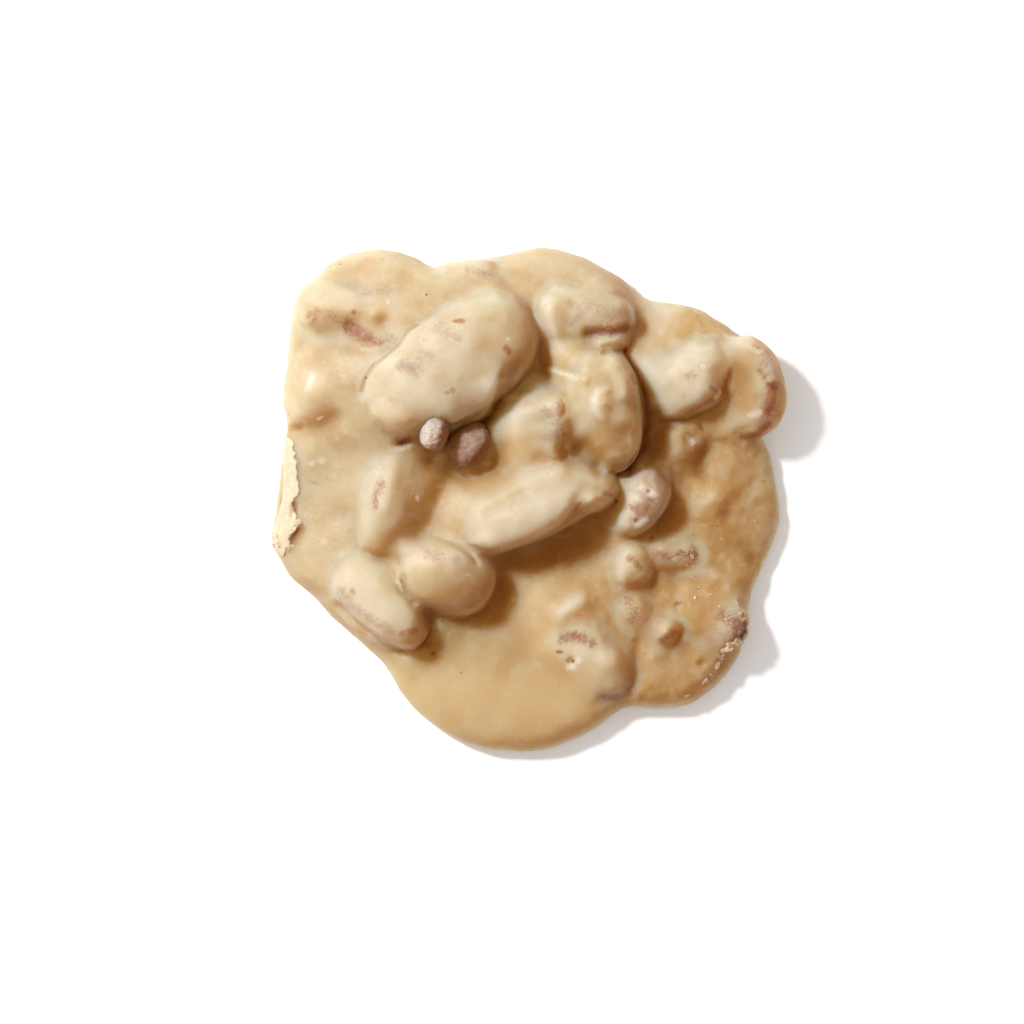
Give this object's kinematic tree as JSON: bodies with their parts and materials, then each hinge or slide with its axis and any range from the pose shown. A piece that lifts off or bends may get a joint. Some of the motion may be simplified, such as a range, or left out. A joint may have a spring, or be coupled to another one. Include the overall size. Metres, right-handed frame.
{
  "type": "pecan praline",
  "caption": "Round lobed sweet of set brown-sugar candy, poured flat underneath, with pecan halves and broken pieces piled in its top under a thin candy coat.",
  "frame": {"origin": "centre of the flat underside, below the middle of the overall box", "axes": "+Z up out of the nutty top; +X to the right and +Y up in the picture, which looks straight down"},
  "size_m": [0.0838, 0.0828, 0.0169],
  "materials": {
    "candy": "satin",
    "pecan": "matte"
  },
  "bodies": {
    "root": {"candy": "candy", "pecan_tip_left": "pecan", "pecan_tip_right": "pecan", "pecan_half_crown": "pecan", "pecan_half_centre": "pecan", "pecan_half_tall": "pecan", "pecan_half_west": "pecan", "pecan_half_southwest": "pecan", "pecan_egg": "pecan", "pecan_half_north": "pecan", "pecan_half_south": "pecan", "pecan_half_northwest": "pecan", "pecan_plate": "pecan", "pecan_kidney": "pecan", "pecan_block": "pecan", "pecan_half_east": "pecan", "pecan_piece_top": "pecan", "pecan_cube": "pecan", "pecan_sliver": "pecan", "pecan_crumb_south": "pecan", "pecan_crumb_east": "pecan", "pecan_chip": "pecan"}
  },
  "joints": []
}
